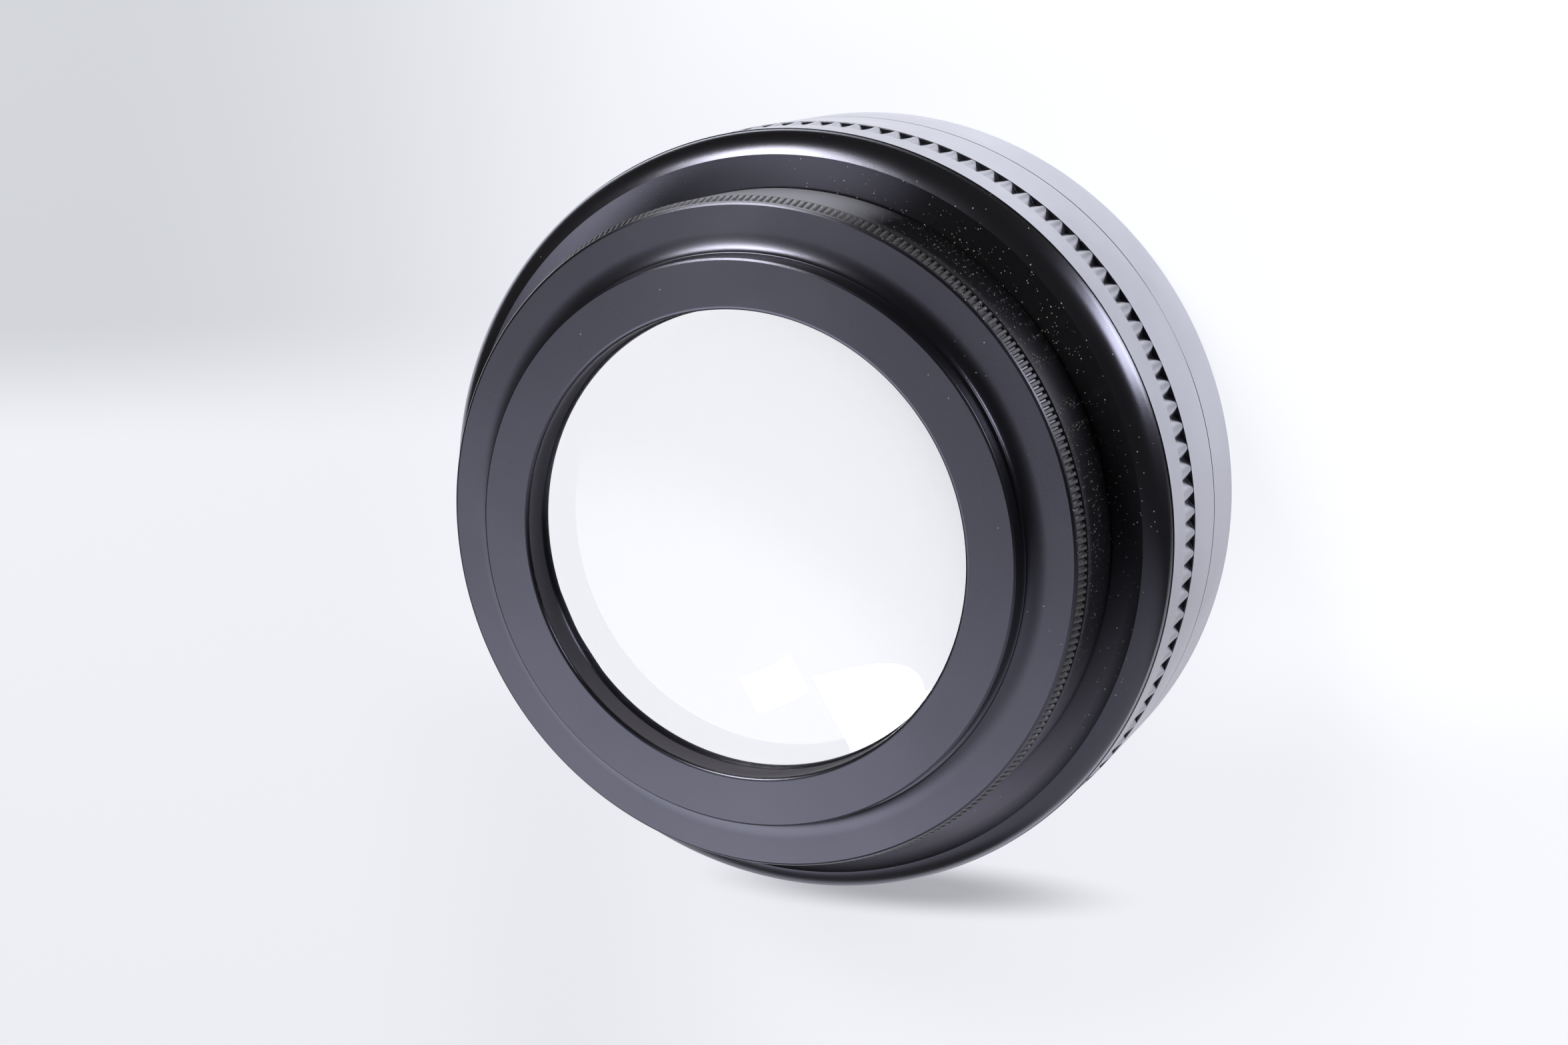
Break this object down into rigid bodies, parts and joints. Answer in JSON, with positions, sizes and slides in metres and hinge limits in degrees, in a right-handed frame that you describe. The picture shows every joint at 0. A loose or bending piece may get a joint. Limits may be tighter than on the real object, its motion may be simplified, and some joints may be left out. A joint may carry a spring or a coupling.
{
  "type": "wide-angle conversion lens",
  "caption": "Black wide-angle conversion lens: mount collar with ribbed flange, rounded shoulder, toothed grip band and domed front glass.",
  "frame": {"origin": "middle of the front rim's plane, on the optical axis, where the lens stands", "axes": "+Z along the optical axis from the front rim to the rear mount face"},
  "size_m": [0.0816, 0.0816, 0.0384],
  "materials": {
    "satin_black": "black anodised, satin",
    "satin_grey": "black anodised, satin, grey where it mirrors the room",
    "baffle_black": "matt black",
    "black_rubber": "matt",
    "clear_glass": "coated optical glass"
  },
  "bodies": {
    "root": {"mount_ring": "satin_black", "rear_element": "clear_glass", "rear_cushion": "black_rubber", "rear_cell": "satin_black", "light_baffle": "baffle_black", "main_barrel": "satin_black", "front_cushion": "black_rubber", "front_element": "clear_glass", "front_retaining_ring": "baffle_black", "grip_ring": "satin_grey", "name_ring": "satin_grey", "front_rim": "satin_grey", "front_trim_ring": "satin_black"}
  },
  "joints": []
}
